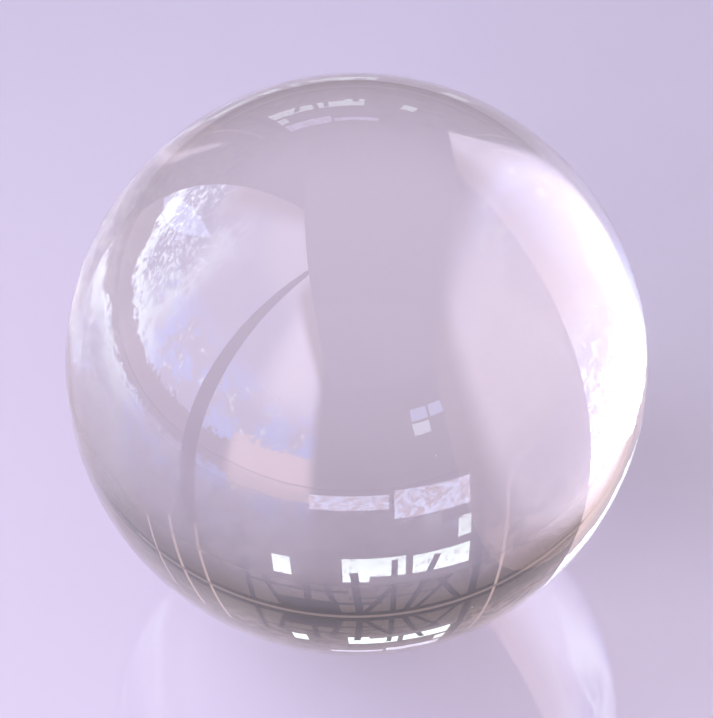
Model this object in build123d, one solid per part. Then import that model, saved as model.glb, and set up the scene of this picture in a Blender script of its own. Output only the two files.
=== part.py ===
from build123d import *
import os

# A clear crystal ball: one solid sphere of optical glass, ground and polished all over.
#
# Millimetres. +Z is up. The origin is the point the ball rests on, so the surface that it
# stands on is the plane z = 0 and the ball's centre is straight above it, one radius up.
# The ball has no stand, bore, flat or join: it is drilled, glued and fastened to nothing.

# Driving dimension. A four-inch ball is sold as 100 mm.
BALL_DIAMETER = 100.0

BALL_RADIUS = BALL_DIAMETER / 2
CENTRE_HEIGHT = BALL_RADIUS


def make_ball():
    """The ball, lifted so that its lowest point touches the surface it rests on."""
    return Pos(0, 0, CENTRE_HEIGHT) * Sphere(radius=BALL_RADIUS)


PARTS = {
    "ball": make_ball(),
}

os.makedirs("parts", exist_ok=True)
for name, shape in PARTS.items():
    export_step(shape, f"parts/{name}.step")
    size = shape.bounding_box().size
    print(f"{name}: {size.X:.2f} x {size.Y:.2f} x {size.Z:.2f} mm, {shape.volume:.0f} mm3")
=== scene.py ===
# %% [markdown]
# # A crystal ball
#
# The real object is one piece: a solid ball of clear optical glass, ground and polished all
# over. It has no surface colour of its own. What we see is light: the front of the ball mirrors
# what stands behind the camera, and the glass bends and turns upside down what lies beyond it.
# So this lesson has two halves, an honest piece of glass and a studio that gives it something
# to show. The first cell loads the measured part, which every later size comes from. The ball
# rests on the origin, so its centre is straight above it, one radius up.

# %% Load the measured part
import math
import bmesh
import bpy
from mathutils import Matrix, Vector


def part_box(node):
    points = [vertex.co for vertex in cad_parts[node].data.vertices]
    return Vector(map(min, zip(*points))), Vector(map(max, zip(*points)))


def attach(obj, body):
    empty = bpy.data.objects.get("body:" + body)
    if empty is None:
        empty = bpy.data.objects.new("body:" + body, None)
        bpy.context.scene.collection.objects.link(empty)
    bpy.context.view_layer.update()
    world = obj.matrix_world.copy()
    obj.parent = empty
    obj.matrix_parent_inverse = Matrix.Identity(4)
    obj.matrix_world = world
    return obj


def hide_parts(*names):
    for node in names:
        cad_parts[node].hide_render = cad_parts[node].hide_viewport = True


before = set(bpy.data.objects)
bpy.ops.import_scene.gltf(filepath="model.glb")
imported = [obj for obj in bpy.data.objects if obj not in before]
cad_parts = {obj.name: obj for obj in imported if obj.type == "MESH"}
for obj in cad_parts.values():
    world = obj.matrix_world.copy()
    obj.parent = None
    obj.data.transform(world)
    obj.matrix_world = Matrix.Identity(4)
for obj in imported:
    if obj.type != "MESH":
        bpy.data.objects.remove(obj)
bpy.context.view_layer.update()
LOW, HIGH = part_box("ball")
RADIUS = (HIGH.z - LOW.z) / 2
CENTRE = Vector((0, 0, LOW.z + RADIUS))
print("ball radius", round(RADIUS, 4), "m, centre", tuple(round(v, 4) for v in CENTRE))

# %% [markdown]
# ## The ball's mesh
#
# A UV sphere pinches at its poles and a glass ball shows that at once, because every ray passes
# through the surface twice. An icosphere has triangles of nearly one size all over and no poles.
# Its faces are fine enough that the flat facets can't be told from the true curve, and smooth
# shading bends the light as a polished surface does.

# %% Make the ball
FINENESS = 7


def finish_mesh(bm, name, smooth=True):
    """Turns a bmesh into an object at the origin, its place held by its mesh."""
    mesh = bpy.data.meshes.new(name)
    bm.to_mesh(mesh)
    bm.free()
    for face in mesh.polygons:
        face.use_smooth = smooth
    piece = bpy.data.objects.new(name, mesh)
    bpy.context.scene.collection.objects.link(piece)
    return piece


bm = bmesh.new()
bmesh.ops.create_icosphere(bm, subdivisions=FINENESS, radius=RADIUS)
bmesh.ops.translate(bm, verts=bm.verts, vec=CENTRE)
ball = finish_mesh(bm, "polished_ball")
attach(ball, "root")
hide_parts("ball")
print("ball faces", len(ball.data.polygons))

# %% [markdown]
# ## A short way to write node materials
#
# A node material is a small graph. Written out one link at a time it is hard to read, so this
# class keeps a material's nodes and links together and has one short method for each kind of
# step that the finishes below use. A step's input is either a plain value or the output of an
# earlier step. Patterns are placed by Object coordinates, which are metres in the object's own
# space, so a pattern stays on the piece from whatever side it is seen.

# %% Helpers for node materials


class Graph:
    """A new material and its nodes."""

    def __init__(self, name):
        self.material = bpy.data.materials.new(name)
        self.material.use_nodes = True
        self.nodes, self.links = self.material.node_tree.nodes, self.material.node_tree.links
        self.nodes.clear()
        self.end = self.nodes.new("ShaderNodeOutputMaterial")

    def add(self, kind, inputs, **settings):
        """Adds a node, sets its properties, and fills its inputs."""
        made = self.nodes.new(kind)
        for name, value in settings.items():
            setattr(made, name, value)
        for socket, value in inputs.items():
            if isinstance(value, bpy.types.NodeSocket):
                self.links.new(value, made.inputs[socket])
            else:
                made.inputs[socket].default_value = value
        return made

    def place(self, turned=(0, 0, 0), stretched=(1, 1, 1)):
        """Where a point is, measured from the ball's centre, then stretched and turned."""
        here = self.nodes.new("ShaderNodeTexCoord").outputs["Object"]
        inputs = {0: here, 1: CENTRE}
        middle = self.add("ShaderNodeVectorMath", inputs, operation="SUBTRACT").outputs[0]
        inputs = {"Vector": middle, "Rotation": turned, "Scale": stretched}
        return self.add("ShaderNodeMapping", inputs).outputs[0]

    def split(self, vector):
        """The X, Y and Z of a vector."""
        return self.add("ShaderNodeSeparateXYZ", {0: vector}).outputs

    def calc(self, operation, *values):
        """One step of arithmetic."""
        return self.add("ShaderNodeMath", dict(enumerate(values)), operation=operation).outputs[0]

    def ramp(self, value, low, high, to_low=0.0, to_high=1.0):
        """A soft step: to_low at low, to_high at high, and a smooth rise between them."""
        inputs = {"Value": value, "From Min": low, "From Max": high,
                  "To Min": to_low, "To Max": to_high}
        made = self.add("ShaderNodeMapRange", inputs, interpolation_type="SMOOTHSTEP")
        return made.outputs["Result"]

    def both(self, *shares):
        """Shares multiplied together: 1 only where each of them is 1."""
        total = shares[0]
        for share in shares[1:]:
            total = self.calc("MULTIPLY", total, share)
        return total

    def noise(self, where, scale, detail=2.0, roughness=0.6):
        """Soft random patches, from 0 to 1 and mostly near a half."""
        inputs = {"Vector": where, "Scale": scale, "Detail": detail, "Roughness": roughness}
        return self.add("ShaderNodeTexNoise", inputs).outputs["Fac"]

    def blend(self, share, first, second):
        """A colour that is the first where share is 0 and the second where it is 1."""
        made = self.add("ShaderNodeMix", {"Factor": share}, data_type="RGBA", clamp_factor=True)
        for socket, value in ((made.inputs[6], first), (made.inputs[7], second)):
            if isinstance(value, bpy.types.NodeSocket):
                self.links.new(value, socket)
            else:
                socket.default_value = (*value, 1)
        return made.outputs[2]

    def finish(self, output, socket="Surface"):
        """Ends the graph and gives back its material."""
        self.links.new(output, self.end.inputs[socket])
        return self.material

    def shine(self, colour, strength=1.0):
        """Ends the graph with a light of one colour, or of a colour made by earlier steps."""
        inputs = {"Color": colour, "Strength": strength}
        return self.finish(self.add("ShaderNodeEmission", inputs).outputs["Emission"])


print("material helpers ready")

# %% [markdown]
# ## What polishing and handling leave on the glass
#
# Clean glass in a computer looks like no glass at all, so the surface gets three faint marks.
# Wipe marks are long streaks where the polish is a trace rougher, found only in the patches
# that hands have touched. Dust is a scatter of tiny frosted dots, made with a Voronoi pattern
# by marking only the middle of a few of its cells. Hairlines are a noise stretched so far that
# its peaks become thin lines. Each could be painted as an image instead, but a pattern made of
# nodes needs no image and stays sharp at any size.

# %% Wear on the glass
WIPE_TURN, WIPE_STRETCH, WIPE_LEVELS = (0.5, 0.3, 0.6), (9.0, 60.0, 60.0), (0.5, 0.75)
HAND_PATCHES, HAND_LEVELS = 28.0, (0.48, 0.66)
DUST_SPACING, DUST_SIZE, DUST_SHARE, DUST_EDGE = 0.003, 0.08, 0.06, 0.01
HAIR_TURN, HAIR_STRETCH, HAIR_LEVELS = (0.2, 0.9, 1.1), (14.0, 900.0, 900.0), (0.70, 0.78)


def wipe_marks(g):
    streaks = g.noise(g.place(WIPE_TURN, WIPE_STRETCH), scale=1.0, detail=3.0)
    handled = g.noise(g.place(), HAND_PATCHES)
    return g.both(g.ramp(streaks, *WIPE_LEVELS), g.ramp(handled, *HAND_LEVELS))


def dust_specks(g):
    inputs = {"Vector": g.place(), "Scale": 1 / DUST_SPACING}
    cells = g.add("ShaderNodeTexVoronoi", inputs)
    pick = g.add("ShaderNodeSeparateColor", {"Color": cells.outputs["Color"]}).outputs[0]
    chosen = g.ramp(pick, 1 - DUST_SHARE, 1 - DUST_SHARE + DUST_EDGE)
    return g.both(chosen, g.ramp(cells.outputs["Distance"], DUST_SIZE, DUST_SIZE / 2))


def hairlines(g):
    fine = g.noise(g.place(HAIR_TURN, HAIR_STRETCH), scale=1.0, detail=1.0)
    return g.ramp(fine, *HAIR_LEVELS)


print("wear: wipe marks, dust about every", DUST_SPACING * 1000, "mm, hairlines")

# %% [markdown]
# ## The glass itself
#
# Clear glass is a Principled shader with full transmission. The melt is never quite colourless,
# so a Volume Absorption takes a little more blue than red, and takes most on the long way
# through the middle. A tinted surface would colour the thin edge just as much, which is the
# sign of a painted bubble rather than a solid ball. All the wear is very faint, since a ray
# meets the surface twice and every fault counts double.

# %% Clear glass
GLASS_IOR = 1.51
GLASS_TINT = (0.89, 0.83, 0.785)
GLASS_DENSITY = 6.0
WIPE_ROUGHNESS, DUST_ROUGHNESS = 0.022, 0.35
HAIRLINE_STRENGTH, HAIRLINE_DEPTH = 0.02, 0.00002


def clear_glass():
    g = Graph("clear_glass")
    wiped = g.calc("MULTIPLY", wipe_marks(g), WIPE_ROUGHNESS)
    frosted = g.calc("MULTIPLY", dust_specks(g), DUST_ROUGHNESS)
    inputs = {"Height": hairlines(g), "Strength": HAIRLINE_STRENGTH, "Distance": HAIRLINE_DEPTH}
    bump = g.add("ShaderNodeBump", inputs)
    shader = g.add("ShaderNodeBsdfPrincipled", {
        "Base Color": (1.0, 1.0, 1.0, 1), "Transmission Weight": 1.0, "IOR": GLASS_IOR,
        "Roughness": g.calc("ADD", wiped, frosted), "Normal": bump.outputs["Normal"]})
    inputs = {"Color": (*GLASS_TINT, 1), "Density": GLASS_DENSITY}
    g.finish(g.add("ShaderNodeVolumeAbsorption", inputs).outputs["Volume"], "Volume")
    return g.finish(shader.outputs["BSDF"])


ball.data.materials.append(clear_glass())
through = [math.exp(-GLASS_DENSITY * (1 - tint) * 2 * RADIUS) for tint in GLASS_TINT]
print("light left after the full width of the glass", [round(share, 3) for share in through])

# %% [markdown]
# ## The studio
#
# Clear glass has to be lit by shapes. A softbox becomes a bright patch with curved edges, a dark
# card becomes the grey that lets the edge of the ball be seen, and an empty room makes a ball
# that can't be seen at all. All the panels here stand well outside the cameras, on a dome whose
# middle is the ball, so each one is placed by two plain angles: an azimuth, which is 0 straight
# ahead and positive to the right, and an elevation above the level of the ball. A panel is an
# upright arc spun about the ball's axis, which keeps it at one distance all over.

# %% Panels on a dome
ROOM = 2.4
PANEL_STEP = 4.0
LAYER = 0.01


def direction(azimuth, elevation):
    """A unit vector that leaves the ball at an azimuth and an elevation in degrees."""
    a, e = math.radians(azimuth), math.radians(elevation)
    return Vector((math.sin(a) * math.cos(e), math.cos(a) * math.cos(e), math.sin(e)))


def dome_panel(name, azimuths, elevations, material, nearness=0, lean=0):
    """A curved panel on the dome. A panel with a larger nearness stands in front of one with a
    smaller. It leans about its own middle, in degrees."""
    distance = ROOM * (1 - LAYER * nearness)
    low, high = elevations
    turn = azimuths[1] - azimuths[0]
    rows = max(1, math.ceil((high - low) / PANEL_STEP))
    bm = bmesh.new()
    arc = [bm.verts.new(direction(azimuths[0], low + (high - low) * i / rows) * distance)
           for i in range(rows + 1)]
    edges = [bm.edges.new(pair) for pair in zip(arc, arc[1:])]
    bmesh.ops.spin(bm, geom=arc + edges, cent=(0, 0, 0), axis=(0, 0, -1),
                   steps=max(1, math.ceil(turn / PANEL_STEP)), angle=math.radians(turn),
                   dvec=(0, 0, 0), use_duplicate=False)
    middle = direction(sum(azimuths) / 2, sum(elevations) / 2)
    bmesh.ops.rotate(bm, verts=bm.verts, cent=(0, 0, 0),
                     matrix=Matrix.Rotation(math.radians(lean), 3, middle))
    bmesh.ops.translate(bm, verts=bm.verts, vec=CENTRE)
    panel = finish_mesh(bm, name)
    panel.data.materials.append(material)


print("dome radius", ROOM, "m,", round(ROOM / RADIUS), "ball radii")

# %% [markdown]
# ## Plain and painted lights
#
# A panel shines with its own light, so its tone is exactly what is set. A plain one needs a
# colour only. A painted one has to know where on the dome each of its points is, and the last
# helper works that out from the Object coordinates: the direction as a unit vector, for noise,
# and the two angles, for anything that follows the horizon.

# %% Helpers for light


def scaled(colour, factor):
    """A lighter or darker colour of the same hue."""
    return tuple(factor * c for c in colour)


def glow(name, colour):
    """An even light. The colour may be far brighter than 1, as a window is."""
    brightness = max(colour)
    return Graph(name).shine((*scaled(colour, 1 / brightness), 1), brightness)


def angles(g):
    """The direction from the ball to a point on the dome, its azimuth and its elevation."""
    ray = g.add("ShaderNodeVectorMath", {0: g.place()}, operation="NORMALIZE").outputs[0]
    part = g.split(ray)
    azimuth = g.calc("MULTIPLY", g.calc("ARCTAN2", part["X"], part["Y"]), math.degrees(1))
    elevation = g.calc("MULTIPLY", g.calc("ARCSINE", part["Z"]), math.degrees(1))
    return ray, azimuth, elevation


print("light helpers ready")

# %% [markdown]
# ## The big soft window: sky
#
# The largest light is a tall open side to the left. An even white panel would make the glass
# look like a computer's. Broken brightness is what the eye reads as a real window. Each layer
# is one plain idea, blended over the last by its azimuth, its elevation or a noise: here blue,
# cloud, the high sky, the bright sky behind the camera, and the shadow under the eaves. The
# eaves are straight, and along a straight edge overhead the ratio of sideways to upwards stays
# the same, so that ratio is what the shadow follows.

# %% Paint the sky
SKY_SPAN = (-166, -42)
BLUE, CLOUD, HIGH_CLOUD = (2.8, 3.5, 6.8), (3.1, 2.9, 4.1), (6.8, 6.1, 7.3)
OVERHEAD, EAVES = (4.2, 3.9, 4.6), (1.9, 1.5, 1.45)
PUFF_LEVELS = (0.44, 0.58)
CLOUDY_ABOVE, OVERHEAD_ABOVE, HIGH_CLOUD_ABOVE = (20, 38), (52, 66), (14, 34)
BEHIND_FROM, BEHIND_FADES, BEHIND_LEFT = (-130, -148), (-170, -154), 0.45
EAVES_FROM, EAVES_EDGE = (-120, -136), (-0.45, -0.34)


def painted_sky(g, ray, azimuth, elevation):
    """Cloud over blue, brighter behind the camera and darker under the edge of the roof."""
    part = g.split(ray)
    puffs = g.ramp(g.noise(ray, scale=5.0, detail=6.0), *PUFF_LEVELS)
    cloudy = g.calc("MAXIMUM", g.ramp(elevation, *CLOUDY_ABOVE), puffs)
    sky = g.blend(cloudy, BLUE, CLOUD)
    sky = g.blend(g.ramp(elevation, *OVERHEAD_ABOVE), sky, OVERHEAD)
    behind = g.both(g.ramp(azimuth, *BEHIND_FROM),
                    g.ramp(azimuth, *BEHIND_FADES, BEHIND_LEFT, 1.0),
                    g.ramp(elevation, *HIGH_CLOUD_ABOVE))
    sky = g.blend(behind, sky, HIGH_CLOUD)
    sideways = g.calc("DIVIDE", part["X"], part["Z"])
    shadow = g.both(g.ramp(azimuth, *EAVES_FROM), g.ramp(sideways, *EAVES_EDGE))
    return g.blend(shadow, sky, EAVES)


print("sky colours from", max(BLUE), "down to", max(EAVES))

# %% [markdown]
# ## The big soft window: glare and tree
#
# At its far end the window is almost white, and a tree stands in front of it. In the glass that
# end becomes a narrow strip of fine bright flecks, the liveliest spot on the ball. The tree is
# a noise with a hard threshold. The gaps between its leaves are a second noise, squeezed in
# height so that its flecks lie level, which the round glass bends to a slant.

# %% Paint the far end
WHITE, LEAVES = (6.5, 7.4, 7.8), (1.3, 1.35, 2.2)
GLARE_LEVELS, GLARE_FROM, GLARE_BELOW = (0.40, 0.56), (-92, -76), (62, 22)
WISP_LEVELS, WISPS_BELOW = (0.56, 0.68), (38, 20)
TREE_LEVELS, TREE_FROM, TREE_BELOW = (0.38, 0.50), (-86, -62), (46, 32)
GAP_LEVELS, GAPS_FROM, GAPS_BELOW, GAP_SQUEEZE = (0.53, 0.58), (-96, -68), (38, 22), (1, 1, 2.2)
CORNER_FROM, CORNER_ABOVE = (-66, -44), (30, 44)


def painted_far_end(g, sky, ray, azimuth, elevation):
    """Glare broken by cloud, small wisps, a tree, the gaps in it, and the roof's dark corner."""
    broken = g.ramp(g.noise(ray, scale=6.0, detail=7.0, roughness=0.7), *GLARE_LEVELS)
    glare = g.both(g.ramp(azimuth, *GLARE_FROM), g.ramp(elevation, *GLARE_BELOW), broken)
    sky = g.blend(glare, sky, WHITE)
    wisps = g.ramp(g.noise(ray, scale=16.0, detail=6.0, roughness=0.7), *WISP_LEVELS)
    sky = g.blend(g.both(wisps, g.ramp(elevation, *WISPS_BELOW)), sky, WHITE)
    clumps = g.ramp(g.noise(ray, scale=26.0, detail=9.0, roughness=0.75), *TREE_LEVELS)
    tree = g.both(g.ramp(azimuth, *TREE_FROM), g.ramp(elevation, *TREE_BELOW), clumps)
    sky = g.blend(tree, sky, LEAVES)
    slanting = g.add("ShaderNodeMapping", {"Vector": ray, "Scale": GAP_SQUEEZE}).outputs[0]
    gaps = g.ramp(g.noise(slanting, scale=26.0, detail=8.0, roughness=0.72), *GAP_LEVELS)
    flecks = g.both(g.ramp(azimuth, *GAPS_FROM), g.ramp(elevation, *GAPS_BELOW), gaps)
    sky = g.blend(flecks, sky, WHITE)
    corner = g.both(g.ramp(azimuth, *CORNER_FROM), g.ramp(elevation, *CORNER_ABOVE))
    return g.blend(corner, sky, EAVES)


print("glare", max(WHITE), "against leaves", max(LEAVES))

# %% [markdown]
# ## The big soft window: skyline and ground
#
# A noise that depends on the direction makes the skyline: it is the height, in degrees, where
# the ground stops. It rises a little at both ends. A narrow band of glare sits on it, and below
# it the ground goes from sunlit and warm behind the camera through cool shade to dark trunks.
# Next to the wall behind the camera the whole window fades into the wall's own tone.

# %% Make the window
FILL, NEAR_SHARE = (0.95, 0.88, 0.95), 0.75
WARM_GROUND, COOL_GROUND, TRUNKS = (6.4, 4.8, 5.0), (1.5, 1.2, 1.4), (0.7, 0.55, 0.55)
SKYLINE_SWING, SKYLINE_BASE, SKYLINE_BLUR = 16, -3.0, 0.7
FAR_END_FROM, FAR_END_RISE = (-62, -52), 6.0
BEHIND_TREES_FROM, BEHIND_TREES_RISE = (-130, -136), 3.5
LOW_GLARE_LEVELS, LOW_GLARE_FROM, LOW_GLARE_BAND = (0.42, 0.47), (-98, -84), (8, 5)
LOW_GLARE_SHARE = 0.8
COOL_FROM, TRUNKS_FROM, WALL_FROM = (-136, -130), (-80, -66), (-160, -166)
WINDOW_HEIGHT = (-4, 90)


def height_over_skyline(g, ray, azimuth, elevation):
    """How many degrees a point is above the tops of the leaves."""
    swing = g.noise(ray, scale=22.0, detail=8.0, roughness=0.7)
    skyline = g.calc("ADD", g.calc("MULTIPLY", swing, SKYLINE_SWING), SKYLINE_BASE)
    skyline = g.calc("ADD", skyline, g.ramp(azimuth, *FAR_END_FROM, 0.0, FAR_END_RISE))
    skyline = g.calc("ADD", skyline, g.ramp(azimuth, *BEHIND_TREES_FROM, 0.0, BEHIND_TREES_RISE))
    return g.calc("SUBTRACT", elevation, skyline)


def window_light():
    g = Graph("open_window")
    ray, azimuth, elevation = angles(g)
    sky = painted_sky(g, ray, azimuth, elevation)
    sky = painted_far_end(g, sky, ray, azimuth, elevation)
    above_leaves = height_over_skyline(g, ray, azimuth, elevation)
    broken = g.ramp(g.noise(ray, scale=24.0, detail=7.0, roughness=0.7), *LOW_GLARE_LEVELS)
    low_glare = g.both(g.ramp(azimuth, *LOW_GLARE_FROM, 0.0, LOW_GLARE_SHARE),
                       g.ramp(above_leaves, *LOW_GLARE_BAND), broken)
    sky = g.blend(low_glare, sky, WHITE)
    ground = g.blend(g.ramp(azimuth, *COOL_FROM), WARM_GROUND, COOL_GROUND)
    ground = g.blend(g.ramp(azimuth, *TRUNKS_FROM), ground, TRUNKS)
    outside = g.blend(g.ramp(above_leaves, -SKYLINE_BLUR, SKYLINE_BLUR), ground, sky)
    return g.shine(g.blend(g.ramp(azimuth, *WALL_FROM), outside, scaled(FILL, NEAR_SHARE)))


dome_panel("open_window", SKY_SPAN, WINDOW_HEIGHT, window_light())
print("window spans azimuth", SKY_SPAN, "degrees")

# %% [markdown]
# ## Walls and window post
#
# The dark parts of the room matter as much as the light. The wall beyond the ball is seen twice,
# once upside down through the bottom of the ball and once more in the polished table, so it is
# brown and nearly black along the floor and only turns pale high up. A thin post in the window
# draws the dark curved line that crosses the bright leaf shape on the left of the ball.

# %% Walls and post
FAR_FILL = (0.62, 0.54, 0.56)
FLOOR_LINE, HEAD_LINE, DOOR_BROWN = (0.10, 0.075, 0.06), (0.15, 0.11, 0.095), (0.26, 0.18, 0.15)
SHADE = 0.55
CLUTTER_LEVELS = (0.42, 0.58)
DOOR_FROM, PLAIN_FROM = (-17, -18), (20, 30)
FOOT_FADES, PALE_ABOVE = (3, 12), (26, 48)
WALL_HEIGHT, RIGHT_CORNER = (-40, 90), 90
POST_SPAN, POST_TONE = (-121, -115), (0.10, 0.08, 0.08)


def far_side():
    g = Graph("far_side")
    ray, azimuth, elevation = angles(g)
    beside_door = g.ramp(azimuth, *DOOR_FROM)
    brown = g.blend(beside_door, HEAD_LINE, DOOR_BROWN)
    clutter = g.ramp(g.noise(ray, scale=24.0, detail=5.0), *CLUTTER_LEVELS)
    brown = g.blend(clutter, brown, scaled(FLOOR_LINE, SHADE))
    plain = g.calc("MAXIMUM", beside_door, g.ramp(azimuth, *PLAIN_FROM))
    foot = g.blend(plain, FLOOR_LINE, scaled(HEAD_LINE, SHADE))
    wall = g.blend(g.ramp(elevation, *FOOT_FADES), foot, brown)
    return g.shine(g.blend(g.ramp(elevation, *PALE_ABOVE), wall, FAR_FILL))


near_wall = glow("near_wall", scaled(FILL, NEAR_SHARE))
dome_panel("near_wall", (RIGHT_CORNER, 360 + SKY_SPAN[0]), WALL_HEIGHT, near_wall)
dome_panel("window_sill", SKY_SPAN, (WALL_HEIGHT[0], WINDOW_HEIGHT[0]), near_wall)
dome_panel("far_wall", (SKY_SPAN[1], RIGHT_CORNER), WALL_HEIGHT, far_side())
dome_panel("window_post", POST_SPAN, WINDOW_HEIGHT, glow("post", POST_TONE), nearness=3)
print("walls from azimuth", SKY_SPAN[1], "to", 360 + SKY_SPAN[0], "degrees")

# %% [markdown]
# ## The ceiling
#
# The ceiling is one flat sheet, and its straight edge is what cuts the big window into a leaf
# shape on the curved glass. It is darker towards the far wall and meets it in the same tone, so
# that no line shows in the polished table.

# %% Ceiling
CEILING_LIGHT, CEILING_FAR = (0.92, 0.85, 0.91), (0.36, 0.305, 0.31)
CEILING_FADE = (0.5, 1.9)
CEILING_RISE, CEILING_REACH = 1.4, 2.0
CEILING_EDGE = -0.29 * CEILING_RISE


def ceiling_light():
    g = Graph("ceiling")
    fade = g.ramp(g.split(g.place())["Y"], *CEILING_FADE)
    return g.shine(g.blend(fade, CEILING_LIGHT, CEILING_FAR))


bm = bmesh.new()
bmesh.ops.create_grid(bm, x_segments=1, y_segments=1, size=1.0)
bmesh.ops.scale(bm, verts=bm.verts, vec=((CEILING_REACH - CEILING_EDGE) / 2, CEILING_REACH, 1))
middle = Vector(((CEILING_REACH + CEILING_EDGE) / 2, 0, CEILING_RISE))
bmesh.ops.translate(bm, verts=bm.verts, vec=CENTRE + middle)
ceiling = finish_mesh(bm, "ceiling", smooth=False)
ceiling.data.materials.append(ceiling_light())
print("ceiling edge", round(-CEILING_EDGE, 3), "m to the left of the ball")

# %% [markdown]
# ## Small windows
#
# Beyond the ball are a few small windows, low and high, and one small window of several panes
# is behind the camera. In the glass they become the little bright panes near the bottom, their
# bluish partners above, and the tiny window in the middle. Leaves outside break up their light,
# which a fine noise stands for.

# %% Small windows
LEAF_EDGE = 0.07


def pane_light(name, light, leaves, share):
    """Daylight with leaves in it. A smaller share lets more leaves in."""
    g = Graph(name)
    leafy = g.noise(angles(g)[0], scale=60.0, detail=6.0, roughness=0.8)
    return g.shine(g.blend(g.ramp(leafy, share, share + LEAF_EDGE), light, leaves))


day_pane = pane_light("day_pane", (1.7, 2.0, 1.95), (0.85, 0.78, 0.9), 0.54)
blue_pane = pane_light("blue_pane", (1.7, 1.9, 2.7), (1.1, 0.9, 1.0), 0.46)
near_day = glow("near_day", (5.0, 5.5, 6.0))
near_blue = glow("near_blue", (3.0, 3.6, 5.4))
PANES = (
    ("low_left", (-15.8, -7.2), (10.4, 15.9), day_pane),
    ("low_right", (-6.2, 2.8), (10.6, 16.2), day_pane),
    ("low_slit", (10.2, 12.9), (11.3, 15.5), day_pane),
    ("side_slit", (-15.8, -13.8), (17.6, 21.4), day_pane),
    ("high_left", (-15.6, -4.6), (23.3, 27.7), blue_pane),
    ("high_right", (-3.9, 7.0), (25.0, 27.2), blue_pane),
    ("near_top_left", (146.0, 151.5), (20.5, 25.0), near_blue),
    ("near_top_right", (152.5, 159.0), (20.5, 25.0), near_blue),
    ("near_low", (152.5, 159.0), (15.0, 19.5), near_day),
)
for name, azimuths, elevations, material in PANES:
    dome_panel("pane_" + name, azimuths, elevations, material, nearness=2)
print(len(PANES), "small panes")

# %% [markdown]
# ## Furniture in the distance
#
# Thin dark legs and rails, and a few pale posts, stand in front of the far wall. Nobody will
# recognise them, but upside down in the bottom of the ball they become the fine dark lines that
# tell the eye how strongly the glass shrinks a room. They are narrow dome panels, some leaning.
# A leg or a post is listed by its azimuth, the height of its top, its width and its lean.

# %% Legs, posts and rails
dark = glow("dark_furniture", (0.004, 0.003, 0.003))
pale = glow("pale_post", (0.48, 0.35, 0.31))
grey = glow("grey_top", (0.16, 0.14, 0.15))
LEG_FOOT = -1.0
LEGS = (
    (-13.5, 9.5, 1.0, 24), (-10.5, 10.0, 0.8, -30), (-8.5, 15.5, 1.0, -16), (-4.6, 15.5, 0.9, 0),
    (-2.0, 9.0, 1.0, -26), (0.8, 13.0, 1.2, 3), (4.4, 10.0, 1.0, 10), (8.2, 12.0, 1.1, 0),
    (13.5, 10.0, 0.9, 14), (17.5, 13.0, 0.9, 0), (-17.4, 26.0, 1.4, 0),
)
POSTS = ((-22.0, 24.0, 0.6, 0), (25.9, 15.0, 0.6, 0), (31.4, 14.0, 0.7, 0), (37.5, 11.0, 0.5, 0))
RAILS = (
    ("rail_low", (-3, 12), (3.6, 4.3)), ("rail_middle", (-12, 2), (5.6, 6.0)),
    ("rail_high", (2, 18), (7.4, 8.1)), ("skirting", (-42, 60), (-4, 0.8)),
    ("low_box", (3.8, 13.0), (-2, 4.6)),
)
for kind, material, bars in (("leg", dark, LEGS), ("post", pale, POSTS)):
    for number, (azimuth, top, width, lean) in enumerate(bars, 1):
        dome_panel(f"{kind}_{number}", (azimuth - width / 2, azimuth + width / 2),
                   (LEG_FOOT, top), material, nearness=4, lean=lean)
for name, azimuths, elevations in RAILS:
    dome_panel(name, azimuths, elevations, dark, nearness=3)
dome_panel("round_table", (-16, -1), (9.6, 11.6), grey, nearness=5, lean=-3)
print(len(LEGS), "legs,", len(POSTS), "posts,", len(RAILS), "rails")

# %% [markdown]
# ## The table
#
# The ball rests on a pale polished board that lies on a larger dark table. The board is what the
# middle of the ball shows, so its tone matters more than anything else in the studio. It has a
# clear coat over a polished base: two reflecting layers, as under a sheet of glass, which makes
# it a mirror where it is seen at a low angle. That is why the bottom of the ball turns dark.

# %% Helpers for the table
EDGE = 0.0015
CLEAR_IOR = 1.5
# The board's painted shade: how it slants across the board and where it runs from light to dark,
# in metres.
SHADE_FALLOFF_SIDEWAYS, SHADE_FALLOFF_SPAN = 0.4, (-0.08, 0.20)


def slab(name, low, high, material):
    """A board with slightly rounded edges."""
    bm = bmesh.new()
    bmesh.ops.create_cube(bm, size=1.0)
    low, high = Vector(low), Vector(high)
    bmesh.ops.scale(bm, verts=bm.verts, vec=high - low)
    bmesh.ops.translate(bm, verts=bm.verts, vec=(high + low) / 2)
    bmesh.ops.bevel(bm, geom=bm.edges[:], offset=EDGE, segments=3, affect="EDGES",
                    profile=0.5, material=-1)
    made = finish_mesh(bm, name, smooth=False)
    made.data.materials.append(material)


def polished(name, near_tone, far_shaded_tone, roughness, coat):
    """A polished sheet, a little darker from the near left to the far right: painted shade where
    the light falls off.
    """
    g = Graph(name)
    part = g.split(g.place())
    # Painted shade: the base colour darkens towards the far right, standing for light that falls
    # off there.
    shade_falloff = g.calc("ADD", part["Y"], g.calc("MULTIPLY", part["X"], SHADE_FALLOFF_SIDEWAYS))
    tone = g.blend(g.ramp(shade_falloff, *SHADE_FALLOFF_SPAN), near_tone, far_shaded_tone)
    inputs = {"Base Color": tone, "Roughness": roughness, "IOR": CLEAR_IOR,
              "Coat Weight": coat, "Coat Roughness": 0.0, "Coat IOR": CLEAR_IOR}
    return g.finish(g.add("ShaderNodeBsdfPrincipled", inputs).outputs["BSDF"])


print("edges rounded by", EDGE * 1000, "mm")
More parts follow.
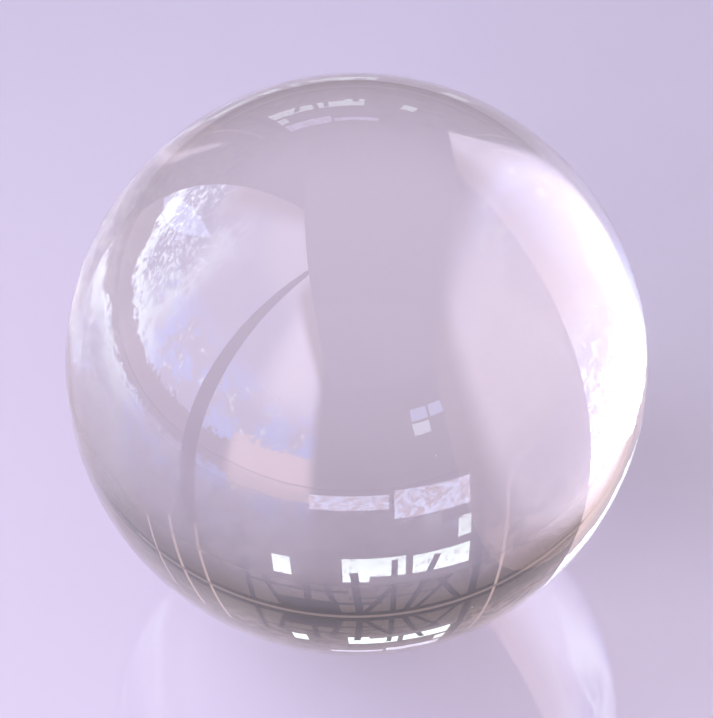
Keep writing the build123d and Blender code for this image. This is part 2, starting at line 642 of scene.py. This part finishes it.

# %% [markdown]
# ## Board, table and lip
#
# The three are set by the ball: the board's top is exactly at its lowest point. The far edge of
# the table carries a low lip that shines with its own tan light, a painted light, which the glass
# turns into one thin pale line across the dark band. A plain world colour fills whatever gap is
# left between the panels.

# %% Board, table and lip
BOARD_THICK, BOARD_SIDE, BOARD_FAR = 0.008, 0.9, 0.44
TABLE_THICK, TABLE_SIDE, TABLE_FAR = 0.042, 1.2, 1.3
LIP_THICK, LIP_RISE = 0.02, 0.012
# The far tone is painted shade: the board is darkened towards the far right where the light falls
# off.
NEAR_TONE, FAR_SHADED_TONE = (0.515, 0.465, 0.535), (0.46, 0.43, 0.50)
DARK_WOOD, LIP_GLOW_TAN, ROOM_TONE = (0.04, 0.028, 0.024), (0.20, 0.15, 0.13), (0.15, 0.13, 0.12)

top = LOW.z
under = top - BOARD_THICK
slab("pale_board", (-BOARD_SIDE, -BOARD_SIDE, under), (BOARD_SIDE, BOARD_FAR, top),
     polished("pale_laminate", NEAR_TONE, FAR_SHADED_TONE, roughness=0.02, coat=1.0))
slab("dark_table", (-TABLE_SIDE, -TABLE_SIDE, under - TABLE_THICK),
     (TABLE_SIDE, TABLE_FAR, under),
     polished("dark_wood", DARK_WOOD, DARK_WOOD, roughness=0.12, coat=0.0))
# The lip glows: its tan is painted light, not a surface lit by the room.
slab("table_lip", (-TABLE_SIDE, TABLE_FAR - LIP_THICK / 2, under - LIP_RISE),
     (TABLE_SIDE, TABLE_FAR + LIP_THICK / 2, top + LIP_RISE), glow("glowing_tan_lip", LIP_GLOW_TAN))
world = bpy.data.worlds.new("room_light")
world.use_nodes = True
world.node_tree.nodes["Background"].inputs["Color"].default_value = (*ROOM_TONE, 1)
bpy.context.scene.world = world
print("board top at", round(top, 4), "m, under the ball's lowest point")

# %% [markdown]
# ## The camera
#
# The camera looks down at the ball from halfway up, nine ball radii away. That is close enough
# for perspective to matter: the ball bends more of the table into view than a distant camera
# would show. The lens is long so that the ball fills the frame, and the camera is rolled by a
# degree or so, as a hand-held one is. The Standard view keeps the studio's tones as they were
# set, where a film-like view would grey the whites.

# %% Camera
CAMERA_ELEVATION = 45.0
CAMERA_DISTANCE = 9 * RADIUS
CAMERA_ROLL = -1.5
LENS, SENSOR = 130.7, 36
NEAREST, FARTHEST = 0.01, 20
AIM_RISE = 0.0175 * RADIUS

eye = CENTRE + direction(180, CAMERA_ELEVATION) * CAMERA_DISTANCE
camera_data = bpy.data.cameras.new("camera")
camera_data.lens = LENS
camera_data.sensor_width = SENSOR
camera_data.clip_start = NEAREST
camera_data.clip_end = FARTHEST
camera = bpy.data.objects.new("camera", camera_data)
bpy.context.scene.collection.objects.link(camera)
level = (CENTRE - eye).to_track_quat("-Z", "Y").to_matrix()
aim = CENTRE + level @ Vector((0, AIM_RISE, 0))
roll = Matrix.Rotation(math.radians(CAMERA_ROLL), 3, "Z")
turn = (aim - eye).to_track_quat("-Z", "Y").to_matrix() @ roll
camera.matrix_world = Matrix.Translation(eye) @ turn.to_4x4()
bpy.context.scene.camera = camera
bpy.context.scene.view_settings.view_transform = "Standard"
print("camera", round(CAMERA_DISTANCE, 3), "m from the ball, at", CAMERA_ELEVATION, "degrees")
